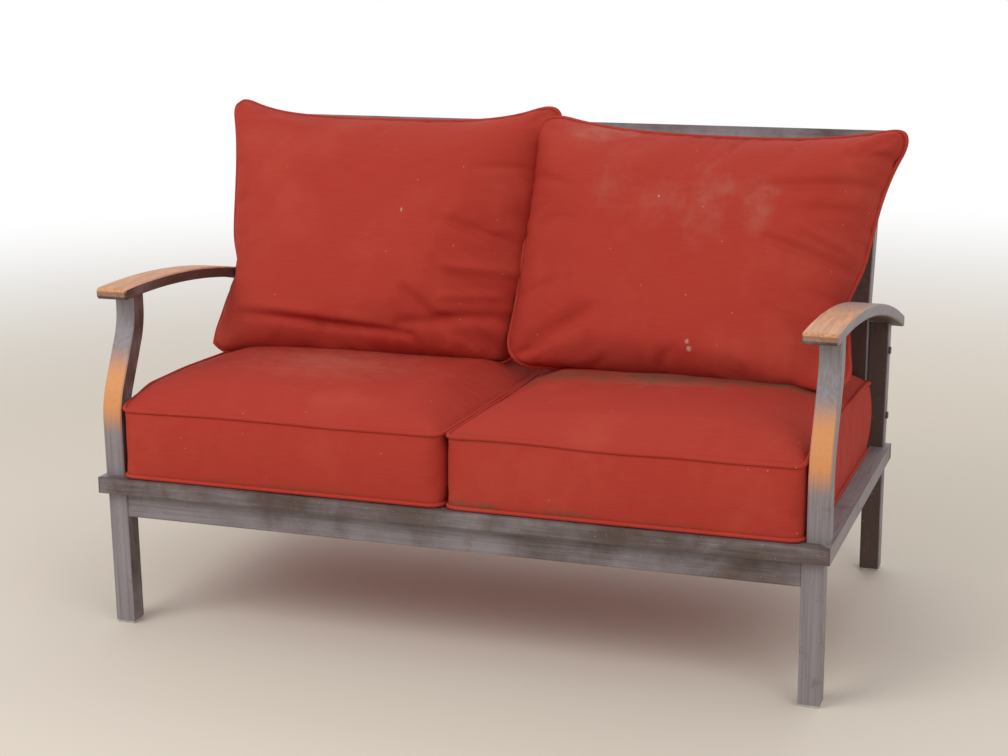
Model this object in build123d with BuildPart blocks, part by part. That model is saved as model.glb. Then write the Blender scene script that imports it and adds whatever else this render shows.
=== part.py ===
from build123d import *
from math import atan2, cos, degrees, radians, sin, sqrt, tan
import os

# Patio loveseat: a welded square-tube seat frame on four legs, arched arms on
# S-curved front posts, a raked slat back, two box seat cushions and two
# knife-edge back pillows. Millimetres. The origin is on the ground, in the
# middle of the overall width and depth. +X is to the sitter's left as seen
# from the front (right in a front view), -Y is the front, +Z is up.

# Driving sizes, with angles in degrees
seat_width = 1350.0
seat_depth = 745.0
seat_height = 289.0
seat_pitch = 2.35
back_height = 870.0
back_rake = 17.2
raked_height = 345.0
tube = 38.0
tube_corner = 3.0
bent_tube_corner = 2.0
wall = 1.5
soft_gap = 0.3

# Sizes of the seat frame
rail_width = 38.0
rail_height = 30.0
rear_rail_width = 25.0
apron_height = 46.0
apron_thickness = 20.0
apron_setback = 5.0
leg_side_inset = 11.0
front_leg_inset = 14.0
glide_height = 5.0
glide_margin = 1.0
glide_stem = 22.0
glide_play = 0.2
glide_wall = 3.0
seat_slat_width = 38.0
seat_slat_thickness = 4.0
seat_slat_count = 8

# Sizes of the arms and their posts
post_side_inset = 5.0
post_front_inset = 21.0
post_setback = 70.0
post_curve_angle = 27.0
post_curve_drop = 149.0
post_curve_radius = 130.0
arm_width = 60.0
arm_thickness = 21.0
arm_crest_height = 639.0
arm_rear_height = 514.0
arm_front = 32.0
arm_crest_back = 33.0
arm_rear_overhang = 6.0
arm_inner_overlap = 19.0
arm_stile_gap = 2.0
arm_nose_radius = 7.0
arm_edge_chamfer = 2.5
rear_post_lean = 4.75

# Sizes of the back frame
back_bend_radius = 150.0
top_rail_height = 40.0
top_rail_overhang = 3.5
low_rail_height = 30.0
low_rail_thickness = 12.0
low_rail_rise = 8.0
back_slat_width = 30.0
back_slat_thickness = 5.0
back_slat_count = 9

# Bolts that hold the back frame to the rear posts
bolt_radius = 4.0
bolt_play = 0.3
bolt_head_radius = 7.0
bolt_head_height = 4.5
bolt_nut_radius = 6.5
bolt_nut_height = 7.0
low_bolt_height = 60.0
bolt_spacing = 130.0

# Sizes of the seat cushions
cushion_height = 134.0
cushion_crown = 31.0
cushion_front = 4.0
cushion_corner = 48.0
welt_width = 4.0

# Sizes of the back pillows
pillow_height = 530.0
right_pillow_drop = 22.0
pillow_lean = 23.9
pillow_setback = 255.0
pillow_sink = 12.0
pillow_split = 23.0
pillow_edge_inset = 61.0
pillow_flare = 70.0
pillow_front_crown = 110.0
pillow_back_crown = 143.0
pillow_corner = 46.0
pillow_side_draw = 17.0
pillow_top_draw = 29.0
pillow_low_draw = 8.0

# Worked out from the sizes above
half_width = seat_width / 2
inner_half = half_width - rail_width
rear_rail_front = seat_depth - rear_rail_width
post_outer = half_width - post_side_inset
post_inner = post_outer - tube
leg_outer = half_width - leg_side_inset
leg_inner = leg_outer - tube
rear_leg_front = seat_depth - tube
stile_outer = leg_inner
stile_inner = stile_outer - tube

pitch_slope = tan(radians(seat_pitch))
rake_slope = tan(radians(back_rake))
lean_slope = tan(radians(rear_post_lean))

# The back rakes from its bend, level with the rear face of the seat
top_rear = seat_depth + rake_slope * raked_height
top_front = top_rear - tube / cos(radians(back_rake))
rake_cos = cos(radians(back_rake))
rake_sin = sin(radians(back_rake))
# The foremost edge is the front rail's lower one and the rearmost the top rail's rounded one
front_reach = rail_height * sin(radians(seat_pitch))
rear_reach = top_front + (tube - tube_corner) * rake_cos + tube_corner * (1 - rake_sin)
seat_front = (front_reach - rear_reach) / 2

# Planes: the pitched seat, a side view at a given X, and the raked back's front face
seat_plane = Plane(
    origin=(0, seat_front, seat_height),
    x_dir=(1, 0, 0),
    z_dir=(0, sin(radians(seat_pitch)), cos(radians(seat_pitch))),
)
back_plane = Plane(
    origin=(0, seat_front + top_front, back_height),
    x_dir=(1, 0, 0),
    z_dir=(0, -cos(radians(back_rake)), sin(radians(back_rake))),
)


def side_plane(x):
    return Plane(origin=(x, seat_front, 0), x_dir=(0, 1, 0), z_dir=(1, 0, 0))


def seat_top(y):
    return seat_height - pitch_slope * y


def save(part, label):
    part.label = label
    export_step(part, "parts/" + label + ".step")


os.makedirs("parts", exist_ok=True)

# Seat rails: a mitred front corner each side and a butted rear rail
with BuildPart() as front_seat_rail:
    with BuildSketch(seat_plane.offset(-rail_height)):
        Polygon(
            (-half_width, 0),
            (half_width, 0),
            (inner_half, rail_width),
            (-inner_half, rail_width),
            align=None,
        )
    extrude(amount=rail_height)
    with BuildSketch(seat_plane.offset(wall - rail_height)):
        Polygon(
            (wall - half_width, wall),
            (half_width - wall, wall),
            (inner_half + wall, rail_width - wall),
            (-inner_half - wall, rail_width - wall),
            align=None,
        )
    extrude(amount=rail_height - 2 * wall, mode=Mode.SUBTRACT)
save(front_seat_rail.part, "front_seat_rail")

with BuildPart() as right_seat_rail:
    with BuildSketch(seat_plane.offset(-rail_height)):
        Polygon(
            (half_width, 0),
            (half_width, rear_rail_front),
            (inner_half, rear_rail_front),
            (inner_half, rail_width),
            align=None,
        )
    extrude(amount=rail_height)
    with BuildSketch(seat_plane.offset(wall - rail_height)):
        Polygon(
            (half_width - wall, wall),
            (half_width - wall, rear_rail_front),
            (inner_half + wall, rear_rail_front),
            (inner_half + wall, rail_width - wall),
            align=None,
        )
    extrude(amount=rail_height - 2 * wall, mode=Mode.SUBTRACT)
save(right_seat_rail.part, "right_seat_rail")

with BuildPart() as left_seat_rail:
    add(mirror(right_seat_rail.part, about=Plane.YZ))
save(left_seat_rail.part, "left_seat_rail")

with BuildPart() as rear_seat_rail:
    with BuildSketch(seat_plane.offset(-rail_height)):
        with Locations((0, seat_depth - rear_rail_width / 2)):
            Rectangle(seat_width, rear_rail_width)
    extrude(amount=rail_height)
    with BuildSketch(seat_plane.offset(wall - rail_height)):
        with Locations((0, seat_depth - rear_rail_width / 2)):
            Rectangle(seat_width - 2 * wall, rear_rail_width - 2 * wall)
    extrude(amount=rail_height - 2 * wall, mode=Mode.SUBTRACT)
save(rear_seat_rail.part, "rear_seat_rail")

# Apron: a shallow tube under the front rail, between the front legs
apron_y = front_leg_inset + apron_setback + apron_thickness / 2
with BuildPart() as front_apron:
    with BuildSketch(seat_plane.offset(-rail_height - apron_height)):
        with Locations((0, apron_y)):
            Rectangle(2 * leg_inner, apron_thickness)
    extrude(amount=apron_height)
    with BuildSketch(seat_plane.offset(wall - rail_height - apron_height)):
        with Locations((0, apron_y)):
            Rectangle(2 * leg_inner, apron_thickness - 2 * wall)
    extrude(amount=apron_height - 2 * wall, mode=Mode.SUBTRACT)
save(front_apron.part, "front_apron")

# Legs: upright tubes cut to the underside of the pitched rails
leg_x = leg_outer - tube / 2
front_leg_y = seat_front + front_leg_inset + tube / 2
rear_leg_y = seat_front + rear_leg_front + tube / 2
leg_places = {
    "front_right_leg": (leg_x, front_leg_y),
    "front_left_leg": (-leg_x, front_leg_y),
    "rear_right_leg": (leg_x, rear_leg_y),
    "rear_left_leg": (-leg_x, rear_leg_y),
}
for leg_name, leg_place in leg_places.items():
    with BuildPart() as leg:
        with BuildSketch(Plane.XY.offset(glide_height)):
            with Locations(leg_place):
                RectangleRounded(tube, tube, tube_corner)
                Rectangle(tube - 2 * wall, tube - 2 * wall, mode=Mode.SUBTRACT)
        extrude(amount=seat_height)
        split(bisect_by=seat_plane.offset(-rail_height), keep=Keep.BOTTOM)
    save(leg.part, leg_name)

# Foot glides: plastic plugs with a hollow stem inside each leg
stem_width = tube - 2 * wall - 2 * glide_play
stem_bore = stem_width - 2 * glide_wall
with BuildPart() as foot_glides:
    with BuildSketch(Plane.XY):
        with Locations(*leg_places.values()):
            RectangleRounded(tube - 2 * glide_margin, tube - 2 * glide_margin, tube_corner)
    extrude(amount=glide_height)
    with BuildSketch(Plane.XY.offset(glide_height)):
        with Locations(*leg_places.values()):
            Rectangle(stem_width, stem_width)
            Rectangle(stem_bore, stem_bore, mode=Mode.SUBTRACT)
    extrude(amount=glide_stem)
save(foot_glides.part, "foot_glides")

# Seat slats: flat straps let in between the front and rear rails
slat_pitch = 2 * inner_half / (seat_slat_count + 1)
for slat_index in range(seat_slat_count):
    slat_x = -inner_half + slat_pitch * (slat_index + 1)
    slat_length = rear_rail_front - rail_width
    with BuildPart() as seat_slat:
        with BuildSketch(seat_plane.offset(-seat_slat_thickness)):
            with Locations((slat_x, rail_width + slat_length / 2)):
                Rectangle(seat_slat_width, slat_length)
        extrude(amount=seat_slat_thickness)
    save(seat_slat.part, "seat_slat_" + str(slat_index + 1))

# Arms: an arched hollow bar, set a little wider apart at the back than at the front
arm_rear = seat_depth + lean_slope * (arm_rear_height - seat_height) + arm_rear_overhang
arm_front_x = post_inner - arm_inner_overlap
arm_splay = degrees(atan2(stile_outer + arm_stile_gap - arm_front_x, arm_rear - arm_front))
arm_length = (arm_rear - arm_front) / cos(radians(arm_splay))
arm_run = arm_length - arm_crest_back
arm_drop = arm_crest_height - arm_rear_height
arm_radius = (arm_run**2 + arm_drop**2) / (2 * arm_drop)
arm_plane = Plane(
    origin=(arm_front_x, seat_front + arm_front, 0),
    x_dir=(sin(radians(arm_splay)), cos(radians(arm_splay)), 0),
    z_dir=(cos(radians(arm_splay)), -sin(radians(arm_splay)), 0),
)


def arm_arc_height(along, depth):
    radius = arm_radius - depth
    return arm_crest_height - arm_radius + sqrt(radius**2 - (along - arm_crest_back) ** 2)


def arm_profile(depth, nose_radius):
    start = depth
    end = arm_length - depth
    middle = arm_length / 2
    low_depth = arm_thickness - depth
    with BuildSketch() as profile:
        with BuildLine():
            ThreePointArc(
                (start, arm_arc_height(start, depth)),
                (middle, arm_arc_height(middle, depth)),
                (end, arm_arc_height(end, depth)),
            )
            Line((end, arm_arc_height(end, depth)), (end, arm_arc_height(end, low_depth)))
            ThreePointArc(
                (end, arm_arc_height(end, low_depth)),
                (middle, arm_arc_height(middle, low_depth)),
                (start, arm_arc_height(start, low_depth)),
            )
            Line((start, arm_arc_height(start, low_depth)), (start, arm_arc_height(start, depth)))
        make_face()
        fillet(profile.vertices().group_by(Axis.X)[0], radius=nose_radius)
    return profile.sketch


with BuildPart() as right_armrest:
    with BuildSketch(arm_plane):
        add(arm_profile(0, arm_nose_radius))
    extrude(amount=arm_width)
    arm_sides = right_armrest.faces().filter_by(GeomType.PLANE).sort_by(SortBy.AREA)[-2:]
    chamfer(arm_sides.edges(), length=arm_edge_chamfer)
    with BuildSketch(arm_plane.offset(arm_edge_chamfer)):
        add(arm_profile(arm_edge_chamfer, arm_nose_radius - arm_edge_chamfer))
    extrude(amount=arm_width - 2 * arm_edge_chamfer, mode=Mode.SUBTRACT)
save(right_armrest.part, "right_armrest")

with BuildPart() as left_armrest:
    add(mirror(right_armrest.part, about=Plane.YZ))
save(left_armrest.part, "left_armrest")


def above_arm_underside():
    far = arm_length * 2
    past = arm_length + 3 * tube
    with BuildPart() as block:
        with BuildSketch(arm_plane.offset(-arm_width)):
            with BuildLine():
                low = ThreePointArc(
                    (0, arm_arc_height(0, arm_thickness)),
                    (past / 2, arm_arc_height(past / 2, arm_thickness)),
                    (past, arm_arc_height(past, arm_thickness)),
                )
                Line(low @ 1, (past, far))
                Line((past, far), (0, far))
                Line((0, far), low @ 0)
            make_face()
        extrude(amount=3 * arm_width)
    return block.part


def bent_tube_outline():
    with BuildSketch() as outline:
        Rectangle(tube, tube)
        chamfer(outline.vertices(), length=bent_tube_corner)
    return outline.sketch


# Front posts: square tube in an S, standing on the seat rails under the arms
post_run = post_setback / tan(radians(post_curve_angle))
post_curve_height = arm_crest_height - post_curve_drop
post_y = post_front_inset + tube / 2
with BuildPart() as right_front_post:
    with BuildLine(side_plane(post_inner + tube / 2)) as post_path:
        FilletPolyline(
            (post_y, seat_height - rail_height),
            (post_y, post_curve_height - post_run / 2),
            (post_y + post_setback, post_curve_height + post_run / 2),
            (post_y + post_setback, arm_crest_height),
            radius=post_curve_radius,
        )
    with BuildSketch(Plane(origin=post_path.line @ 0, x_dir=(1, 0, 0), z_dir=(0, 0, 1))):
        add(bent_tube_outline())
        Rectangle(tube - 2 * wall, tube - 2 * wall, mode=Mode.SUBTRACT)
    sweep(path=post_path.line)
    split(bisect_by=seat_plane, keep=Keep.TOP)
    add(above_arm_underside(), mode=Mode.SUBTRACT)
save(right_front_post.part, "right_front_post")

with BuildPart() as left_front_post:
    add(mirror(right_front_post.part, about=Plane.YZ))
save(left_front_post.part, "left_front_post")

# Rear posts: straight tubes above the rear legs, leaning back under the arms
rear_post_x = stile_outer + tube / 2
low_bolt_z = seat_top(rear_leg_front) + low_bolt_height
bolt_places = [
    (rear_leg_front + tube / 2 + lean_slope * low_bolt_height / 2, low_bolt_z),
    (
        rear_leg_front + tube / 2 + lean_slope * (low_bolt_height + bolt_spacing) / 2,
        low_bolt_z + bolt_spacing,
    ),
]
with BuildPart() as right_rear_post:
    lean_plane = Plane(
        origin=(rear_post_x, seat_front + rear_leg_front + tube / 2, seat_top(rear_leg_front)),
        x_dir=(1, 0, 0),
        z_dir=(0, sin(radians(rear_post_lean)), cos(radians(rear_post_lean))),
    )
    with BuildSketch(lean_plane.offset(-tube)):
        RectangleRounded(tube, tube, tube_corner)
        Rectangle(tube - 2 * wall, tube - 2 * wall, mode=Mode.SUBTRACT)
    extrude(amount=arm_crest_height)
    split(bisect_by=seat_plane, keep=Keep.TOP)
    add(above_arm_underside(), mode=Mode.SUBTRACT)
    with BuildSketch(side_plane(stile_outer - tube)):
        with Locations(*bolt_places):
            Circle(bolt_radius + bolt_play)
    extrude(amount=3 * tube, mode=Mode.SUBTRACT)
save(right_rear_post.part, "right_rear_post")

with BuildPart() as left_rear_post:
    add(mirror(right_rear_post.part, about=Plane.YZ))
save(left_rear_post.part, "left_rear_post")

# Back stiles: bent tubes, upright behind the seat and raked above the arms
stile_y = seat_depth - tube / 2
stile_top_y = top_front + tube / 2 * rake_cos - top_rail_height * rake_sin
stile_top_z = back_height - tube / 2 * rake_sin - top_rail_height * rake_cos
elbow_z = stile_top_z - (stile_top_y - stile_y) / rake_slope
with BuildPart() as right_back_stile:
    with BuildLine(side_plane(stile_inner + tube / 2)) as stile_path:
        FilletPolyline(
            (stile_y, seat_height - rail_height - tube),
            (stile_y, elbow_z),
            (stile_top_y, stile_top_z),
            radius=back_bend_radius,
        )
    with BuildSketch(Plane(origin=stile_path.line @ 0, x_dir=(1, 0, 0), z_dir=(0, 0, 1))):
        add(bent_tube_outline())
        Rectangle(tube - 2 * wall, tube - 2 * wall, mode=Mode.SUBTRACT)
    sweep(path=stile_path.line)
    split(bisect_by=seat_plane, keep=Keep.TOP)
    with BuildSketch(side_plane(stile_inner - tube)):
        with Locations(*bolt_places):
            Circle(bolt_radius + bolt_play)
    extrude(amount=3 * tube, mode=Mode.SUBTRACT)
save(right_back_stile.part, "right_back_stile")

with BuildPart() as left_back_stile:
    add(mirror(right_back_stile.part, about=Plane.YZ))
save(left_back_stile.part, "left_back_stile")

# Top rail: a capped tube across the tops of both stiles
with BuildPart() as back_top_rail:
    with BuildSketch(back_plane.offset(-tube)):
        with Locations((0, -top_rail_height / 2)):
            Rectangle(2 * (stile_outer + top_rail_overhang), top_rail_height)
    extrude(amount=tube)
    fillet(back_top_rail.edges().filter_by(Axis.X), radius=tube_corner)
    with BuildSketch(back_plane.offset(wall - tube)):
        with Locations((0, -top_rail_height / 2)):
            Rectangle(
                2 * (stile_outer + top_rail_overhang - wall), top_rail_height - 2 * wall
            )
    extrude(amount=tube - 2 * wall, mode=Mode.SUBTRACT)
save(back_top_rail.part, "back_top_rail")

# Lower back rail, between the stiles just above their bends
elbow_u = -(back_height - elbow_z) / cos(radians(back_rake))
low_rail_u = elbow_u + low_rail_rise + low_rail_height / 2
with BuildPart() as back_lower_rail:
    with BuildSketch(back_plane.offset(-(tube + low_rail_thickness) / 2)):
        with Locations((0, low_rail_u)):
            Rectangle(2 * stile_inner, low_rail_height)
    extrude(amount=low_rail_thickness)
    with BuildSketch(back_plane.offset(wall - (tube + low_rail_thickness) / 2)):
        with Locations((0, low_rail_u)):
            Rectangle(2 * stile_inner, low_rail_height - 2 * wall)
    extrude(amount=low_rail_thickness - 2 * wall, mode=Mode.SUBTRACT)
save(back_lower_rail.part, "back_lower_rail")

# Back slats: flat bars welded between the two back rails
back_slat_pitch = 2 * stile_inner / (back_slat_count + 1)
back_slat_low = low_rail_u + low_rail_height / 2
back_slat_length = -top_rail_height - back_slat_low
for slat_index in range(back_slat_count):
    slat_x = -stile_inner + back_slat_pitch * (slat_index + 1)
    with BuildPart() as back_slat:
        with BuildSketch(back_plane.offset(-(tube + back_slat_thickness) / 2)):
            with Locations((slat_x, back_slat_low + back_slat_length / 2)):
                Rectangle(back_slat_width, back_slat_length)
        extrude(amount=back_slat_thickness)
    save(back_slat.part, "back_slat_" + str(slat_index + 1))

# Bolts through the rear posts and stiles, button head outside and cap nut inside
with BuildPart() as right_bolts:
    with BuildSketch(side_plane(stile_inner)):
        with Locations(*bolt_places):
            Circle(bolt_radius)
    extrude(amount=2 * tube)
    with BuildSketch(side_plane(stile_outer + tube)):
        with Locations(*bolt_places):
            Circle(bolt_head_radius)
    extrude(amount=bolt_head_height)
    with BuildSketch(side_plane(stile_inner - bolt_nut_height)):
        with Locations(*bolt_places):
            RegularPolygon(bolt_nut_radius, 6)
    extrude(amount=bolt_nut_height)
with BuildPart() as back_frame_bolts:
    add(right_bolts.part)
    add(mirror(right_bolts.part, about=Plane.YZ))
save(back_frame_bolts.part, "back_frame_bolts")

# Seat cushions: boxed, with a welt round the top and bottom seams and a crowned top
cushion_inner = soft_gap
cushion_outer = post_inner - soft_gap
cushion_width = cushion_outer - cushion_inner
cushion_rear = (rear_leg_front - soft_gap - cushion_height * sin(radians(seat_pitch))) / cos(
    radians(seat_pitch)
)
cushion_depth = cushion_rear - cushion_front - soft_gap
cushion_y = cushion_front + cushion_depth / 2
boxing_low = soft_gap + welt_width
boxing_high = soft_gap + cushion_height - welt_width
crown_low = soft_gap + cushion_height
# Shares of the boxing's height, each with how many welt widths the cover draws in there
boxing_shares = [(0.0, 1.0), (0.5, 0.25), (1.0, 1.0)]
# Shares of the crown, each with the share of the outline that is left there
crown_shares = [(0.0, 0.986), (0.5, 0.9), (0.85, 0.79), (1.0, 0.66)]
# A soft corner is cut straight, then its two new corners are trimmed, as shares of its radius
corner_cut_share = 0.62
corner_trim_share = 0.25


def cushion_outline(height, inset, hand):
    with BuildSketch(seat_plane.offset(height)) as outline:
        with Locations((hand * (cushion_inner + cushion_outer) / 2, cushion_y)):
            RectangleRounded(cushion_width - 2 * inset, cushion_depth - 2 * inset, cushion_corner)
    return outline.sketch


def crown_outline(height, kept, hand):
    with BuildSketch(seat_plane.offset(height)) as outline:
        with Locations((hand * (cushion_inner + cushion_outer) / 2, cushion_y)):
            Rectangle(cushion_width * kept, cushion_depth * kept)
        for cut_share in (corner_cut_share, corner_trim_share):
            chamfer(outline.vertices(), length=cushion_corner * cut_share * kept)
    return outline.sketch


def make_cushion(hand):
    boxing = [
        cushion_outline(
            boxing_low + (boxing_high - boxing_low) * height_share,
            welt_width * draw_share,
            hand,
        )
        for height_share, draw_share in boxing_shares
    ]
    crown = [
        crown_outline(crown_low + cushion_crown * height_share, kept_share, hand)
        for height_share, kept_share in crown_shares
    ]
    with BuildPart() as cushion:
        extrude(cushion_outline(soft_gap, 0, hand), amount=welt_width)
        extrude(cushion_outline(boxing_high, 0, hand), amount=welt_width)
        for sections in (boxing, crown):
            with BuildPart(mode=Mode.PRIVATE) as filling:
                loft(sections, ruled=True)
            add(filling.part)
    return cushion.part


save(make_cushion(1), "right_seat_cushion")
save(make_cushion(-1), "left_seat_cushion")

# Back pillows: two crowned faces that meet in a knife edge with a welt
pillow_rest = crown_low + cushion_crown + soft_gap
pillow_front = seat_depth - pillow_setback
pillow_low_edge = half_width - pillow_edge_inset
pillow_high_edge = pillow_low_edge + pillow_flare
pillow_plane = Plane(
    origin=(0, seat_front + pillow_front, seat_top(pillow_front) + pillow_rest - pillow_sink),
    x_dir=(1, 0, 0),
    z_dir=(0, -cos(radians(pillow_lean)), sin(radians(pillow_lean))),
)
# Shares of the crown, with the share of the outline that the cover draws in there
pillow_shares = [(0.0, 0.01), (0.3, 0.09), (0.66, 0.22), (0.89, 0.35), (1.0, 0.48)]
# Share of each edge that an ear takes up at either end
ear_share = 0.27

def pillow_outline(height, depth, draw_share, hand):
    kept = 1 - draw_share
    corners = [
        Vector(hand * soft_gap - pillow_split, 0),
        Vector(hand * pillow_low_edge, 0),
        Vector(hand * pillow_high_edge, height),
        Vector(hand * soft_gap - pillow_split, height),
    ]
    draws = [
        Vector(0, pillow_low_draw),
        Vector(-hand * pillow_side_draw, 0),
        Vector(0, -pillow_top_draw),
        Vector(hand * pillow_low_draw, 0),
    ]
    middle = (corners[0] + corners[1] + corners[2] + corners[3]) / 4
    with BuildSketch(pillow_plane.offset(depth)) as outline:
        with BuildLine():
            for index, draw in enumerate(draws):
                start = corners[index]
                end = corners[index - 3]
                ear = (end - start) * ear_share
                run = [start, start + ear + draw, end - ear + draw, end]
                Polyline(*[middle + (point - middle) * kept for point in run])
        make_face()
        ends = [
            outline.vertices().sort_by_distance(middle + (corner - middle) * kept)[0]
            for corner in corners
        ]
        chamfer(ends, length=pillow_corner * corner_cut_share * kept)
    return outline.sketch


def make_pillow(height, hand):
    with BuildPart() as pillow:
        extrude(pillow_outline(height, 0, 0, hand), amount=welt_width / 2, both=True)
        for side, crown in ((1, pillow_front_crown), (-1, pillow_back_crown)):
            sections = [
                pillow_outline(
                    height,
                    side * (welt_width / 2 + crown * depth_share),
                    draw_share,
                    hand,
                )
                for depth_share, draw_share in pillow_shares
            ]
            with BuildPart(mode=Mode.PRIVATE) as filling:
                loft(sections, ruled=True)
            add(filling.part)
        split(bisect_by=seat_plane.offset(pillow_rest), keep=Keep.TOP)
    return pillow.part


save(make_pillow(pillow_height - right_pillow_drop, 1), "right_back_pillow")
save(make_pillow(pillow_height, -1), "left_back_pillow")
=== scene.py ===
import math

import bmesh
import bpy
from mathutils import Matrix, Vector, noise


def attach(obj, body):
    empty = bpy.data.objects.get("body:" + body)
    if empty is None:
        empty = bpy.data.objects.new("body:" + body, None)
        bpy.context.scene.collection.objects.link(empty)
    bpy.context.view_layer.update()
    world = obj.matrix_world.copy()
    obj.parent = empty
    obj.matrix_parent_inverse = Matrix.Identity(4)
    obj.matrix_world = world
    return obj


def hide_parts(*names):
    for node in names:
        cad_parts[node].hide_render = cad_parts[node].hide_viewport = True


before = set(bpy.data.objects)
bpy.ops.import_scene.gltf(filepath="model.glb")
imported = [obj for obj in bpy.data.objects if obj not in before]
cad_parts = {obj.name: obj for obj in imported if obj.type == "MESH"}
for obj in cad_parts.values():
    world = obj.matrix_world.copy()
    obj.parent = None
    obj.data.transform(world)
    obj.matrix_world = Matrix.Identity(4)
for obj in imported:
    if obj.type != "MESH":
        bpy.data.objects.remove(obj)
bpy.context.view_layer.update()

# Seat rails and apron
# Square and flat steel tube, mitred and welded. It was powder coated dark bronze, then pewter
# was dry-brushed on the faces that show, so streaks follow the tube and bronze stays at edges.
# The bronze on the inner and under faces is partly painted shade.


def colour(hex_code):
    """An sRGB hex colour as the linear colour that a shader takes."""
    shares = [int(hex_code[i:i + 2], 16) / 255 for i in (1, 3, 5)]
    return [s / 12.92 if s <= 0.04045 else ((s + 0.055) / 1.055) ** 2.4 for s in shares] + [1.0]


def add_node(tree, kind, sockets=None, **settings):
    """Adds a node. Each named or numbered socket gets a value or the output that feeds it."""
    node = tree.nodes.new("ShaderNode" + kind)
    for name, value in settings.items():
        setattr(node, name, value)
    for name, value in (sockets or {}).items():
        if isinstance(value, bpy.types.NodeSocket):
            tree.links.new(value, node.inputs[name])
        else:
            node.inputs[name].default_value = value
    return node


def new_material(name):
    material = bpy.data.materials.new(name)
    material.use_nodes = True
    material.node_tree.nodes.clear()
    return material


def paint_nodes(names, material):
    for name in names:
        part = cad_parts[name]
        part.data.materials.clear()
        part.data.materials.append(material)


# Dark bronze, the base coat, as seen on faces in shade, so it is partly painted shade
bronze = colour("#3a2b27")
bronze_worn = colour("#5a463d")
pewter_light = colour("#918a8f")
pewter_dark = colour("#756b6a")
rust = colour("#6d5145")
speck = colour("#b5b0aa")
# Per metre: clouds of pewter about 170 mm wide, rust stains about 50 mm, chips 10 mm apart
cloud_scale, rust_scale, chip_scale = 6.0, 19.0, 95.0
# How much a hair of the brush, a face that shows and a bare edge count for beside the clouds. The
# faces that don't show stay dark bronze, partly as painted shade
hair_weight, shown_unshaded_weight, edge_weight = 0.30, 0.42, -0.2
# Pewter starts where these add up to the first level, less the cover, and is full at the second
brush_start, brush_full = 1.17, 1.56
edge_radius = 0.004
streak_depth = 0.0002


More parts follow.
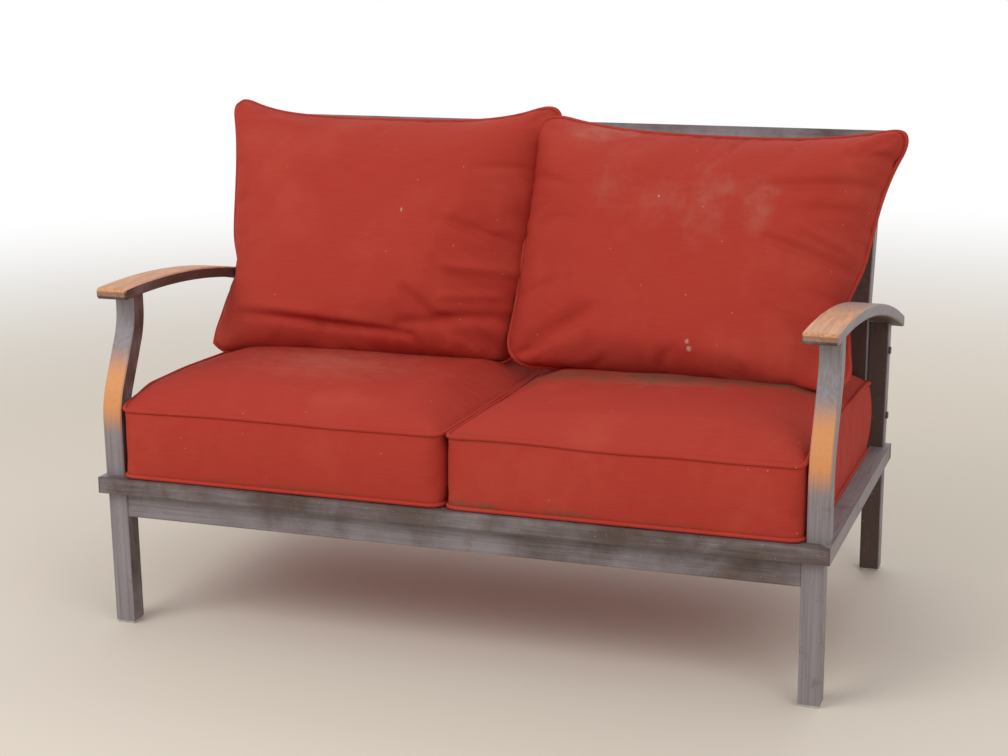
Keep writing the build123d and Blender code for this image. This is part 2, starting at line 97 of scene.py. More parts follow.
def brushed_paint(name, grain, faces, cover, copper=None):
    """Satin paint, brushed. grain is the streaks per metre in X, Y and Z, faces the directions
    that the brushed faces look in, cover how much is brushed, copper adds a second coat. The
    faces turned away keep the dark bronze, partly as painted shade."""
    material = new_material(name)
    tree = material.node_tree
    place = add_node(tree, "TexCoord").outputs["Object"]
    face = add_node(tree, "NewGeometry").outputs["Normal"]
    along = add_node(tree, "Mapping", {"Vector": place, "Scale": grain}).outputs[0]
    hairs = add_node(
        tree, "TexNoise",
        {"Vector": along, "Scale": 1.0, "Detail": 5.0, "Roughness": 0.65},
    ).outputs["Fac"]
    clouds = add_node(
        tree, "TexNoise",
        {"Vector": place, "Scale": cloud_scale, "Detail": 5.0, "Roughness": 0.6, "Distortion": 0.3},
    ).outputs["Fac"]
    # The brush reaches the faces that show and skips the last millimetres before an edge. The faces
    # turned away keep the dark bronze, which is partly painted shade
    shown_unshaded = None
    for direction in faces:
        looks = add_node(
            tree, "VectorMath", {0: face, 1: direction}, operation="DOT_PRODUCT"
        ).outputs["Value"]
        shown_unshaded = looks if shown_unshaded is None else add_node(
            tree, "Math", {0: shown_unshaded, 1: looks}, operation="MAXIMUM"
        ).outputs[0]
    reached_unshaded = add_node(
        tree, "MapRange", {"Value": shown_unshaded, "From Min": 0.25, "From Max": 0.6},
    ).outputs[0]
    rounded = add_node(tree, "Bevel", {"Radius": edge_radius}, samples=4).outputs[0]
    alike = add_node(
        tree, "VectorMath", {0: rounded, 1: face}, operation="DOT_PRODUCT"
    ).outputs["Value"]
    edge = add_node(
        tree, "MapRange", {"Value": alike, "From Min": 0.99, "From Max": 0.78},
    ).outputs[0]
    level = add_node(
        tree, "Math", {0: hairs, 1: hair_weight, 2: clouds}, operation="MULTIPLY_ADD"
    ).outputs[0]
    level = add_node(
        tree, "Math", {0: edge, 1: edge_weight, 2: level}, operation="MULTIPLY_ADD"
    ).outputs[0]
    level = add_node(
        tree, "Math", {0: reached_unshaded, 1: shown_unshaded_weight, 2: level}, operation="MULTIPLY_ADD"
    ).outputs[0]
    brushed = add_node(
        tree, "MapRange",
        {"Value": level, "From Min": brush_start - cover, "From Max": brush_full - cover},
        interpolation_type="SMOOTHSTEP",
    ).outputs[0]
    tone = add_node(
        tree, "TexNoise", {"Vector": along, "Scale": 0.55, "Detail": 4.0, "Roughness": 0.6},
    ).outputs["Fac"]
    tone = add_node(
        tree, "MapRange", {"Value": tone, "From Min": 0.25, "From Max": 0.75},
    ).outputs[0]
    pewter = add_node(
        tree, "Mix", {0: tone, 6: pewter_dark, 7: pewter_light}, data_type="RGBA"
    ).outputs[2]
    under = add_node(
        tree, "Mix", {0: hairs, 6: bronze, 7: bronze_worn}, data_type="RGBA"
    ).outputs[2]
    coat = add_node(
        tree, "Mix", {0: brushed, 6: under, 7: pewter}, data_type="RGBA"
    ).outputs[2]
    stained = add_node(
        tree, "TexNoise",
        {"Vector": place, "Scale": rust_scale, "Detail": 5.0, "Roughness": 0.7},
    ).outputs["Fac"]
    stained = add_node(
        tree, "MapRange",
        {"Value": stained, "From Min": 0.56, "From Max": 0.72, "To Max": 0.55},
        interpolation_type="SMOOTHSTEP",
    ).outputs[0]
    coat = add_node(tree, "Mix", {0: stained, 6: coat, 7: rust}, data_type="RGBA").outputs[2]
    if copper:
        share, tint = copper(tree, place, face, along, hairs)
        coat = add_node(tree, "Mix", {0: share, 6: coat, 7: tint}, data_type="RGBA").outputs[2]
    chips = add_node(
        tree, "TexVoronoi", {"Vector": place, "Scale": chip_scale}
    ).outputs["Distance"]
    chips = add_node(
        tree, "MapRange", {"Value": chips, "From Min": 0.10, "From Max": 0.06, "To Max": 0.5},
    ).outputs[0]
    coat = add_node(tree, "Mix", {0: chips, 6: coat, 7: speck}, data_type="RGBA").outputs[2]
    gloss = add_node(
        tree, "MapRange", {"Value": hairs, "To Min": 0.42, "To Max": 0.66},
    ).outputs[0]
    relief = add_node(
        tree, "Bump", {"Height": hairs, "Distance": streak_depth, "Strength": 0.5}
    ).outputs[0]
    shader = add_node(
        tree, "BsdfPrincipled",
        {"Base Color": coat, "Roughness": gloss, "Normal": relief, "IOR": 1.5},
    )
    add_node(tree, "OutputMaterial", {"Surface": shader.outputs[0]})
    return material


front, rear, up = (0, -1, 0), (0, 1, 0), (0, 0, 1)
right, left = (1, 0, 0), (-1, 0, 0)
# Brush hairs leave streaks about 2 mm apart and 100 mm long or more
cross_grain, depth_grain, upright_grain = (9, 420, 420), (420, 9, 420), (420, 420, 9)

paint_nodes(
    ["front_seat_rail"],
    brushed_paint("pewter_brushed_rail", cross_grain, [front, up], 0.24),
)
paint_nodes(
    ["front_apron"],
    brushed_paint("pewter_brushed_apron", cross_grain, [front, up], 0.36),
)
paint_nodes(
    ["rear_seat_rail"],
    brushed_paint("pewter_brushed_rear_rail", cross_grain, [rear, up], 0.55),
)
paint_nodes(
    ["right_seat_rail"],
    brushed_paint("pewter_brushed_right_rail", depth_grain, [right, up], 0.50),
)
paint_nodes(
    ["left_seat_rail"],
    brushed_paint("pewter_brushed_left_rail", depth_grain, [left, up], 0.50),
)

# Seat slats
# Eight flat steel straps let in between the front and rear rails. They carry the cushions and
# got the bronze coat with hardly any pewter, because nothing is seen of them from above.
paint_nodes(
    ["seat_slat_%d" % number for number in range(1, 9)],
    brushed_paint("bronze_coated_strap", depth_grain, [up], 0.12),
)

# Legs
# Four uprights of the same square tube, cut to the slope of the rails and welded under them.
# The front pair is brushed in front and outside, the rear pair only outside and behind. The
# bronze left on the other faces is partly painted shade.
paint_nodes(
    ["front_right_leg"],
    brushed_paint("pewter_brushed_right_leg", upright_grain, [front, right], 0.72),
)
paint_nodes(
    ["front_left_leg"],
    brushed_paint("pewter_brushed_left_leg", upright_grain, [front, left], 0.72),
)
rear_right_paint = brushed_paint("bronze_rear_right_tube", upright_grain, [right, rear], 0.42)
rear_left_paint = brushed_paint("bronze_rear_left_tube", upright_grain, [left, rear], 0.42)
paint_nodes(["rear_right_leg"], rear_right_paint)
paint_nodes(["rear_left_leg"], rear_left_paint)

# Foot glides
# Pale nylon plugs pressed into the leg ends, moulded with a fine matt texture, scuffed and
# dirty where they slide on the patio.
scuff_scale, scuff_depth = 160.0, 0.0003
nylon = new_material("moulded_nylon_glide")
tree = nylon.node_tree
place = add_node(tree, "TexCoord").outputs["Object"]
scuffs = add_node(
    tree, "TexNoise", {"Vector": place, "Scale": scuff_scale, "Detail": 4.0}
).outputs["Fac"]
nylon_colour = add_node(
    tree, "Mix", {0: scuffs, 6: colour("#8d8a84"), 7: colour("#cfcbc3")}, data_type="RGBA"
).outputs[2]
relief = add_node(tree, "Bump", {"Height": scuffs, "Distance": scuff_depth}).outputs[0]
shader = add_node(
    tree, "BsdfPrincipled",
    {"Base Color": nylon_colour, "Roughness": 0.62, "Normal": relief, "IOR": 1.53},
)
add_node(tree, "OutputMaterial", {"Surface": shader.outputs[0]})
paint_nodes(["foot_glides"], nylon)

# Front posts
# S-curved square tube between the seat rail and the arm. Midway up, the front face has a
# copper patch brushed over the pewter, feathered into it above and below.
copper_orange = colour("#e29a5a")
copper_brown = colour("#bd7b4a")
# Heights above the ground, and how far single hairs of the brush carry the copper past them
patch_low, patch_high, patch_fade = 0.362, 0.528, 0.060
hair_reach, hair_low, hair_high = 0.035, 0.015, 0.02


def post_copper(tree, place, face, along, hairs):
    height = add_node(tree, "SeparateXYZ", {0: place}).outputs["Z"]
    ragged = add_node(
        tree, "Math", {0: hairs, 1: hair_reach, 2: height}, operation="MULTIPLY_ADD"
    ).outputs[0]
    start, end = patch_low + hair_low, patch_high + hair_high
    above = add_node(
        tree, "MapRange",
        {"Value": ragged, "From Min": start, "From Max": start + patch_fade},
        interpolation_type="SMOOTHSTEP",
    ).outputs[0]
    below = add_node(
        tree, "MapRange",
        {"Value": ragged, "From Min": end, "From Max": end - patch_fade},
        interpolation_type="SMOOTHSTEP",
    ).outputs[0]
    faces_front = add_node(
        tree, "VectorMath", {0: face, 1: front}, operation="DOT_PRODUCT"
    ).outputs["Value"]
    faces_front = add_node(
        tree, "MapRange", {"Value": faces_front, "From Min": 0.4, "From Max": 0.75},
    ).outputs[0]
    share = add_node(tree, "Math", {0: above, 1: below}, operation="MULTIPLY").outputs[0]
    share = add_node(tree, "Math", {0: share, 1: faces_front}, operation="MULTIPLY").outputs[0]
    tint = add_node(
        tree, "Mix", {0: hairs, 6: copper_brown, 7: copper_orange}, data_type="RGBA"
    ).outputs[2]
    return share, tint


paint_nodes(
    ["right_front_post"],
    brushed_paint(
        "copper_brushed_right_post", upright_grain, [front, right], 0.66, copper=post_copper
    ),
)
paint_nodes(
    ["left_front_post"],
    brushed_paint(
        "copper_brushed_left_post", upright_grain, [front, left], 0.66, copper=post_copper
    ),
)

# Armrests
# Arched hollow bars, welded on the posts. Copper is brushed over the top from the front end
# and fades into pewter towards the back, like worn wood, and the sides stay pewter or bronze.
arm_copper_light = colour("#dca274")
arm_copper_dark = colour("#a8704c")
# The copper lies on faces that look up and a little forward, in streaks up to 160 mm long
arm_top = (0, -0.45, 0.9)
copper_streak = 0.16
copper_least, copper_most = 0.12, 0.95


def arm_copper(fade_start, fade_end):
    """Copper that fades out between two places along the arm, given in metres on Y."""
    def make(tree, place, face, along, hairs):
        parts = add_node(tree, "SeparateXYZ", {0: place}).outputs
        ragged = add_node(
            tree, "Math", {0: hairs, 1: copper_streak, 2: parts["Y"]}, operation="MULTIPLY_ADD"
        ).outputs[0]
        forward = add_node(
            tree, "MapRange",
            {"Value": ragged, "From Min": fade_end + copper_streak / 2,
             "From Max": fade_start + copper_streak / 2,
             "To Min": copper_least, "To Max": copper_most},
            interpolation_type="SMOOTHSTEP",
        ).outputs[0]
        looks_up = add_node(
            tree, "VectorMath", {0: face, 1: arm_top}, operation="DOT_PRODUCT"
        ).outputs["Value"]
        looks_up = add_node(
            tree, "MapRange", {"Value": looks_up, "From Min": 0.3, "From Max": 0.62},
        ).outputs[0]
        share = add_node(
            tree, "Math", {0: forward, 1: looks_up}, operation="MULTIPLY"
        ).outputs[0]
        figure = add_node(
            tree, "TexNoise", {"Vector": along, "Scale": 0.7, "Detail": 6.0, "Roughness": 0.7},
        ).outputs["Fac"]
        figure = add_node(
            tree, "MapRange", {"Value": figure, "From Min": 0.35, "From Max": 0.65},
        ).outputs[0]
        tint = add_node(
            tree, "Mix", {0: figure, 6: arm_copper_dark, 7: arm_copper_light}, data_type="RGBA"
        ).outputs[2]
        return share, tint
    return make


paint_nodes(
    ["right_armrest"],
    brushed_paint(
        "copper_brushed_right_arm", depth_grain, [up, right], 0.62,
        copper=arm_copper(-0.28, 0.02),
    ),
)
paint_nodes(
    ["left_armrest"],
    brushed_paint(
        "copper_brushed_left_arm", depth_grain, [up, left], 0.6,
        copper=arm_copper(-0.02, 0.30),
    ),
)

# Rear posts and back frame
# Straight posts behind the arms carry two bent stiles, bolted through. A capped top rail, a
# lower rail and nine flat bars fill the back. The pewter is thinner here and bronze shows, and the
# bronze on the faces towards the pillows is partly painted shade.
paint_nodes(["right_rear_post", "right_back_stile"], rear_right_paint)
paint_nodes(["left_rear_post", "left_back_stile"], rear_left_paint)
paint_nodes(
    ["back_top_rail"],
    brushed_paint("pewter_brushed_top_rail", cross_grain, [front, up, rear], 0.36),
)
paint_nodes(
    ["back_lower_rail"],
    brushed_paint("bronze_lower_rail", cross_grain, [rear], 0.40),
)
paint_nodes(
    ["back_slat_%d" % number for number in range(1, 10)],
    brushed_paint("bronze_back_bar", upright_grain, [rear], 0.42),
)

# Bolts
# Button-head bolts with cap nuts hold each stile to its post, painted bronze with the frame,
# the paint worn through to a dull shine on the heads.
wear_scale = 240.0
bolt_paint = new_material("bronze_painted_bolt")
tree = bolt_paint.node_tree
place = add_node(tree, "TexCoord").outputs["Object"]
worn = add_node(
    tree, "TexNoise", {"Vector": place, "Scale": wear_scale, "Detail": 3.0}
).outputs["Fac"]
bolt_colour = add_node(
    tree, "Mix", {0: worn, 6: colour("#2c2321"), 7: colour("#6a605a")}, data_type="RGBA"
).outputs[2]
shader = add_node(
    tree, "BsdfPrincipled", {"Base Color": bolt_colour, "Roughness": 0.42, "IOR": 1.5}
)
add_node(tree, "OutputMaterial", {"Surface": shader.outputs[0]})
paint_nodes(["back_frame_bolts"], bolt_paint)

# Seat cushions
# Box cushions of woven olefin, solution-dyed terracotta, round a fibre-wrapped foam core. The
# cover is a top, a bottom and a boxing strip, with corded piping sewn into both seams.
seat_front_edge, seat_edge_height, seat_pitch = -0.42317, 0.289, math.radians(2.35)
across, inward, off_seat = (
    Vector((1, 0, 0)),
    Vector((0, math.cos(seat_pitch), -math.sin(seat_pitch))),
    Vector((0, math.sin(seat_pitch), math.cos(seat_pitch))),
)
seat_corner = Vector((0, seat_front_edge, seat_edge_height))
seat_place = Matrix.Translation(seat_corner) @ Matrix((across, inward, off_seat)).transposed().to_4x4()
# Two corners of the cover as it is sewn, from the frame's middle, its front and the rails' top
cushion_low = Vector((0.0042, 0.0080, 0.0045))
cushion_high = Vector((0.6276, 0.6972, 0.1305))
cushion_corner = 0.022
cushion_crown = 0.0297
# The filling also lifts the outer top seam and pushes the outer side over the rail, by a
# smaller share at the seams, from behind the front post to just before the rear
outer_lift, side_overhang, overhang_at_seams = 0.020, 0.017, 0.7
post_depth, rear_fade = 0.07, 0.05
cover_step = 0.0105
piping_radius = 0.0042
seam_wave, waves_per_metre = 0.0022, 7

fabric_red = colour("#b2392c")
fabric_deep = colour("#8d2a25")
fabric_faded = colour("#bf5342")
fabric_dust = colour("#b98a78")
# Brown painted shade, for the cloth under the pillows' foot and along the cushions' lower front
fabric_painted_shade = colour("#6d4a35")
# Threads of such cloth are 0.6 mm apart and are drawn 2.2 mm apart so that they show. A wave
# texture has 3.18 times its scale in waves per metre
thread_scale = 143.0
# Slubs are thick places in the yarn, 45 mm long and 3 mm apart
slub_scale = (22, 330, 330)
# Per metre: faded patches about 180 mm wide, ragged edges of stains 33 mm, lint 38 mm apart
patch_scale, stain_scale, lint_scale = 5.5, 30.0, 26.0
stain_ragged, stain_edge, stain_full = 2.2, 2.3, 0.9
thread_depth = 0.0003


def woven_fabric(name, stains=(), painted_shade=(), by_cover=True):
    """Matt woven cloth. stains are pale places, such as dust on the seat tops, and the second list
    holds brown marks of painted shade, each a centre in metres, its size in X, Y and Z and its
    strength."""
    material = new_material(name)
    tree = material.node_tree
    source = add_node(tree, "TexCoord")
    place = source.outputs["Object"]
    threads = source.outputs["UV"] if by_cover else place
    warp, weft = [
        add_node(
            tree, "TexWave",
            {"Vector": threads, "Scale": thread_scale, "Distortion": 1.2, "Detail": 2.0},
            bands_direction=way,
        ).outputs["Fac"]
        for way in ("X", "Y")
    ]
    weave = add_node(tree, "Math", {0: warp, 1: weft}, operation="MULTIPLY").outputs[0]
    slub_map = add_node(tree, "Mapping", {"Vector": threads, "Scale": slub_scale}).outputs[0]
    slubs = add_node(
        tree, "TexNoise", {"Vector": slub_map, "Scale": 1.0, "Detail": 3.0, "Roughness": 0.6},
    ).outputs["Fac"]
    patches = add_node(
        tree, "TexNoise",
        {"Vector": place, "Scale": patch_scale, "Detail": 5.0, "Roughness": 0.55},
    ).outputs["Fac"]
    grit = add_node(
        tree, "TexNoise",
        {"Vector": place, "Scale": stain_scale, "Detail": 5.0, "Roughness": 0.62},
    ).outputs["Fac"]
    thread_share = add_node(
        tree, "MapRange",
        {"Value": slubs, "From Min": 0.35, "From Max": 0.65, "To Max": 0.16},
    ).outputs[0]
    cloth = add_node(
        tree, "Mix", {0: thread_share, 6: fabric_red, 7: fabric_faded}, data_type="RGBA"
    ).outputs[2]
    hollow = add_node(
        tree, "MapRange", {"Value": weave, "To Min": 0.26, "To Max": 0.0},
    ).outputs[0]
    cloth = add_node(
        tree, "Mix", {0: hollow, 6: cloth, 7: fabric_deep}, data_type="RGBA"
    ).outputs[2]
    worn = add_node(
        tree, "MapRange",
        {"Value": patches, "From Min": 0.48, "From Max": 0.75, "To Max": 0.35},
        interpolation_type="SMOOTHSTEP",
    ).outputs[0]
    cloth = add_node(
        tree, "Mix", {0: worn, 6: cloth, 7: fabric_faded}, data_type="RGBA"
    ).outputs[2]
    # Pale stains first, then the brown marks of painted shade
    for spots, tint in ((stains, fabric_dust), (painted_shade, fabric_painted_shade)):
        for centre, size, strength in spots:
            scale = [1 / s for s in size]
            shift = [-c / s for c, s in zip(centre, size)]
            near = add_node(
                tree, "Mapping", {"Vector": place, "Location": shift, "Scale": scale}
            ).outputs[0]
            distance = add_node(
                tree, "VectorMath", {0: near}, operation="LENGTH"
            ).outputs["Value"]
            ragged = add_node(
                tree, "Math", {0: grit, 1: stain_ragged, 2: distance},
                operation="MULTIPLY_ADD",
            ).outputs[0]
            share = add_node(
                tree, "MapRange",
                {"Value": ragged, "From Min": stain_edge, "From Max": stain_full,
                 "To Max": strength},
                interpolation_type="SMOOTHSTEP",
            ).outputs[0]
            cloth = add_node(
                tree, "Mix", {0: share, 6: cloth, 7: tint}, data_type="RGBA"
            ).outputs[2]
    lint = add_node(
        tree, "TexVoronoi", {"Vector": place, "Scale": lint_scale}
    ).outputs["Distance"]
    lint = add_node(
        tree, "MapRange", {"Value": lint, "From Min": 0.045, "From Max": 0.03, "To Max": 0.6},
    ).outputs[0]
    cloth = add_node(
        tree, "Mix", {0: lint, 6: cloth, 7: fabric_dust}, data_type="RGBA"
    ).outputs[2]
    height = add_node(tree, "Math", {0: weave, 1: slubs}, operation="ADD").outputs[0]
    relief = add_node(
        tree, "Bump", {"Height": height, "Distance": thread_depth, "Strength": 0.6}
    ).outputs[0]
    shader = add_node(
        tree, "BsdfPrincipled",
        {"Base Color": cloth, "Roughness": 0.88, "Normal": relief, "IOR": 1.49,
         "Specular IOR Level": 0.18},
    )
    add_node(tree, "OutputMaterial", {"Surface": shader.outputs[0]})
    return material


def to_object(mesh, name, material):
    """Makes a piece of the finished bmesh, smooth shaded, with its faces outwards."""
    bmesh.ops.recalc_face_normals(mesh, faces=mesh.faces[:])
    data = bpy.data.meshes.new(name)
    mesh.to_mesh(data)
    mesh.free()
    data.polygons.foreach_set("use_smooth", [True] * len(data.polygons))
    data.materials.append(material)
    piece = bpy.data.objects.new(name, data)
    bpy.context.scene.collection.objects.link(piece)
    return piece


filling_frames = 20


def inflate(piece, seam, pressure, slack, cap, stiffness):
    """Fills a sewn cover by a cloth simulation under pressure, with its seams held, and keeps the
    result as the piece's mesh. The cloth is larger by the share slack, and no point moves
    further than cap."""
    group = piece.vertex_groups.new(name="seam")
    group.add(seam, 1.0, "REPLACE")
    before = [v.co.copy() for v in piece.data.vertices]
    cloth = piece.modifiers.new("filling", "CLOTH")
    cloth.settings.quality = 6
    cloth.settings.mass = 0.3
    cloth.settings.tension_stiffness = stiffness
    cloth.settings.compression_stiffness = stiffness
    cloth.settings.shear_stiffness = stiffness / 3
    cloth.settings.bending_stiffness = 0.4
    cloth.settings.use_pressure = True
    cloth.settings.uniform_pressure_force = pressure
    cloth.settings.shrink_min = -slack
    cloth.settings.shrink_max = -slack
    cloth.settings.vertex_group_mass = "seam"
    cloth.settings.pin_stiffness = 1.0
    cloth.settings.effector_weights.gravity = 0
    cloth.collision_settings.use_collision = False
    cloth.point_cache.frame_start = 1
    cloth.point_cache.frame_end = filling_frames
    for number in range(1, filling_frames + 1):
        bpy.context.scene.frame_set(number)
    view = bpy.context.evaluated_depsgraph_get()
    filled = piece.evaluated_get(view).data
    for vertex, old, new in zip(piece.data.vertices, before, filled.vertices):
        step = new.co - old
        if step.length > cap:
            step = step.normalized() * cap
        vertex.co = old + step
    piece.modifiers.remove(cloth)
    piece.vertex_groups.clear()
    bpy.context.scene.frame_set(1)


def refine(piece):
    """One applied level of subdivision."""
    smooth = piece.modifiers.new("finer", "SUBSURF")
    smooth.levels = smooth.render_levels = 1
    view = bpy.context.evaluated_depsgraph_get()
    finer = bpy.data.meshes.new_from_object(piece.evaluated_get(view))
    piece.modifiers.clear()
    old = piece.data
    piece.data = finer
    finer.name = old.name
    bpy.data.meshes.remove(old)


def piping(name, loop, material):
    """A closed cord of fabric piping that follows the given points of a seam."""
    line = bpy.data.curves.new(name, "CURVE")
    line.dimensions = "3D"
    spline = line.splines.new("POLY")
    spline.points.add(len(loop) - 1)
    for point, place in zip(spline.points, loop):
        point.co = (*place, 1)
    spline.use_cyclic_u = True
    line.bevel_depth = piping_radius
    line.bevel_resolution = 2
    cord = bpy.data.objects.new(name, line)
    bpy.context.scene.collection.objects.link(cord)
    view = bpy.context.evaluated_depsgraph_get()
    data = bpy.data.meshes.new_from_object(cord.evaluated_get(view))
    bpy.data.objects.remove(cord)
    data.name = name
    data.polygons.foreach_set("use_smooth", [True] * len(data.polygons))
    data.materials.clear()
    data.materials.append(material)
    piece = bpy.data.objects.new(name, data)
    bpy.context.scene.collection.objects.link(piece)
    return piece


def round_corner(x, y, half_x, half_y, radius):
    """Moves a point of a rectangle's grid so that the outline has rounded corners."""
    over_x, over_y = abs(x) - (half_x - radius), abs(y) - (half_y - radius)
    if over_x <= 0 or over_y <= 0:
        return x, y
    scale = max(over_x, over_y) / math.hypot(over_x, over_y)
    return (
        math.copysign(half_x - radius + over_x * scale, x),
        math.copysign(half_y - radius + over_y * scale, y),
    )


def wobble(x, y, seed):
    """A sewn seam's small waves, in metres."""
    return seam_wave * noise.noise(Vector((x * waves_per_metre, y * waves_per_metre, seed)))


def make_seat_cushion(side, hand, material, piping_material):
    """Six panels sewn to a box. hand is 1 on the right and -1 on the left."""
    size = cushion_high - cushion_low
    half_x, half_y = size.x / 2, size.y / 2
    mesh = bmesh.new()
    bmesh.ops.create_cube(mesh, size=1)
    bmesh.ops.scale(mesh, vec=size, verts=mesh.verts)
    bmesh.ops.translate(mesh, vec=(0, 0, size.z / 2), verts=mesh.verts)
    for axis in range(3):
        cuts = round(size[axis] / cover_step) - 1
        along = [e for e in mesh.edges if abs(e.verts[0].co[axis] - e.verts[1].co[axis]) > 1e-3]
        bmesh.ops.subdivide_edges(mesh, edges=along, cuts=cuts)
    # The cover lies flat along its threads, so the weave is mapped before it is filled
    cover = mesh.loops.layers.uv.new("cover")
    for face in mesh.faces:
        for loop in face.loops:
            x, y, z = loop.vert.co
            if abs(face.normal.z) > 0.5:
                loop[cover].uv = (x, y)
            elif abs(face.normal.y) > 0.5:
                loop[cover].uv = (x, z + 1)
            else:
                loop[cover].uv = (y, z + 2)
    seams = {"top": [], "bottom": []}
    for vertex in mesh.verts:
        x, y, z = vertex.co
        above_bottom = z > cover_step / 2
        on_side = half_x - abs(x) < 1e-5 or half_y - abs(y) < 1e-5
        if on_side and (z < 1e-5 or size.z - z < 1e-5):
            seams["top" if above_bottom else "bottom"].append(vertex)
        # The filling lifts the top seam between the corners of the outer side
        lift = 0.5 * (1 + hand * x / half_x) * (1 - (y / half_y) ** 4) * z / size.z
        crown = 0.0
        if above_bottom and not on_side:
            crown = ((1 - (x / half_x) ** 6) * (1 - (y / half_y) ** 4)) ** 0.5
        z += outer_lift * lift + cushion_crown * crown
        x, y = round_corner(x, y, half_x, half_y, cushion_corner)
        if above_bottom:
            z += wobble(x + hand, y, 3.0) * (1.6 if z > 0.1 else 1.0)
        # Behind the front post the outer side bellies out over the rail
        if half_x - hand * x < 1e-4:
            behind_post = max(0.0, (y + half_y - post_depth) / post_depth)
            before_rear = (half_y - y) / rear_fade
            round_side = math.sin(math.pi * min(1.0, vertex.co.z / size.z))
            belly = overhang_at_seams + (1 - overhang_at_seams) * round_side
            x += hand * side_overhang * belly * min(1.0, behind_post) * min(1.0, before_rear)
        vertex.co = (x, y, z)
    middle = (cushion_low + cushion_high) / 2
    into_place = seat_place @ Matrix.Translation((hand * middle.x, middle.y, cushion_low.z))
    bmesh.ops.transform(mesh, matrix=into_place, verts=mesh.verts)
    centre = into_place @ Vector((0, 0, 0))

    def bearing(vertex):
        away = vertex.co - centre
        return math.atan2(away.dot(inward), away.dot(across))

    loops = {}
    for name, vertices in seams.items():
        loops[name] = [v.co.copy() for v in sorted(vertices, key=bearing)]
    mesh.verts.index_update()
    held = [v.index for v in seams["top"] + seams["bottom"]]
    name = side + "_seat_cushion_cover"
    cushion = to_object(mesh, name, material)
    inflate(cushion, held, pressure=2.6, slack=0.006, cap=0.010, stiffness=12)
    refine(cushion)
    body = side + "_seat"
    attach(cushion, body)
    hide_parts(side + "_seat_cushion")
    for place, loop in loops.items():
        cord = piping("%s_seat_%s_piping" % (side, place), loop, piping_material)
        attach(cord, body)


piping_fabric = woven_fabric("terracotta_piping_cloth", by_cover=False)
right_seat_fabric = woven_fabric(
    "terracotta_woven_right_seat",
    stains=[((0.30, 0.00, 0.44), (0.20, 0.16, 0.10), 0.25)],
    painted_shade=[
        # Painted shadow of the back pillow on the seat top, along its foot
        ((0.10, -0.045, 0.45), (0.16, 0.055, 0.05), 0.95),
        ((0.32, -0.040, 0.45), (0.20, 0.055, 0.05), 0.85),
        ((0.52, -0.050, 0.45), (0.14, 0.055, 0.05), 0.95),
        # Painted shade along the bottom of the front face, by the rail
        ((0.07, -0.418, 0.297), (0.08, 0.03, 0.016), 0.8),
        ((0.20, -0.418, 0.296), (0.10, 0.03, 0.014), 0.7),
        ((0.40, -0.418, 0.296), (0.10, 0.03, 0.010), 0.5),
        # Painted shade at the front top corner by the gap between the cushions
        ((0.05, -0.41, 0.42), (0.10, 0.02, 0.012), 0.4),
    ],
)
left_seat_fabric = woven_fabric(
    "terracotta_woven_left_seat",
    stains=[((-0.34, -0.10, 0.44), (0.22, 0.16, 0.10), 0.18)],
    # Painted shade along the bottom of the front face, by the rail
    painted_shade=[((-0.30, -0.415, 0.30), (0.20, 0.02, 0.010), 0.35)],
)
make_seat_cushion("right", 1, right_seat_fabric, piping_fabric)
make_seat_cushion("left", -1, left_seat_fabric, piping_fabric)

# Back pillows
# Knife-edge pillows of the same cloth, blown full of polyester fibre, with piping round the
# one seam. The filling pulls the edges in between the corners, which stand out as round ears.
pillow_lean = math.radians(23.9)
pillow_rest = 0.1657
pillow_up = Vector((0, math.sin(pillow_lean), math.cos(pillow_lean)))
pillow_out = Vector((0, -math.cos(pillow_lean), math.sin(pillow_lean)))
pillow_behind, pillow_raise = 0.490, 0.004
pillow_foot = seat_corner + Vector(
    (0, pillow_behind, pillow_rest + pillow_raise - pillow_behind * math.tan(seat_pitch))
)
pillow_place = (
    Matrix.Translation(pillow_foot)
    @ Matrix((across, pillow_up, pillow_out)).transposed().to_4x4()
)


def edge_draw(t, amount, sharpness):
    """How far a seam is drawn in at t, from none at its two ends to amount in the middle."""
    return amount * (1 - abs(t) ** sharpness)


def pillow_point(shape, s, t):
    """The seam plane's point for s and t from -1 to 1, between four drawn-in edges."""
    low_in, low_out, high_out, high_in = (Vector(c) for c in shape["corners"])
    u, v = (s + 1) / 2, (t + 1) / 2
    bottom = low_in.lerp(low_out, u) + Vector((0, edge_draw(s, *shape["bottom"])))
    top = high_in.lerp(high_out, u) - Vector((0, edge_draw(s, *shape["top"])))
    inner = low_in.lerp(high_in, v) + Vector((edge_draw(t, *shape["inner"]), 0))
    outer = low_out.lerp(high_out, v) - Vector((edge_draw(t, *shape["outer"]), 0))
    flat = low_in.lerp(low_out, u).lerp(high_in.lerp(high_out, u), v)
    return bottom.lerp(top, v) + inner.lerp(outer, u) - flat


def fold_depth(x, y, folds):
    """Height of the wrinkles at a point of the pillow's face, in metres."""
    depth = 0.0
    for start, end, width, height in folds:
        start, end = Vector(start), Vector(end)
        along = end - start
        share = max(0.0, min(1.0, (Vector((x, y)) - start).dot(along) / along.length_squared))
        away = (Vector((x, y)) - start - along * share).length / width
        # Three widths away nothing is left of a fold
        if away < 3:
            depth += height * math.exp(-away * away) * math.sin(math.pi * (0.15 + 0.7 * share))
    return depth


segments_x, segments_y = 66, 54
# Half of a panel, for the radius of its corners
half_panel_x, half_panel_y = 0.34, 0.26
# The arm presses on the outer side at this height along the pillow, for this far
arm_along, arm_spread = 0.145, 0.050
# A panel rises from its seam by this power, and by a smaller and so steeper one at the arm
rise_power, arm_power_drop = 0.62, 0.16
lump_share, lumps_per_side = 0.06, 2.2
sag_height = 0.12
# The hang of the back panel, as places from -1 at its lower seam to 1 at the upper one
hang_middle, hang_spread = -0.80, 0.20
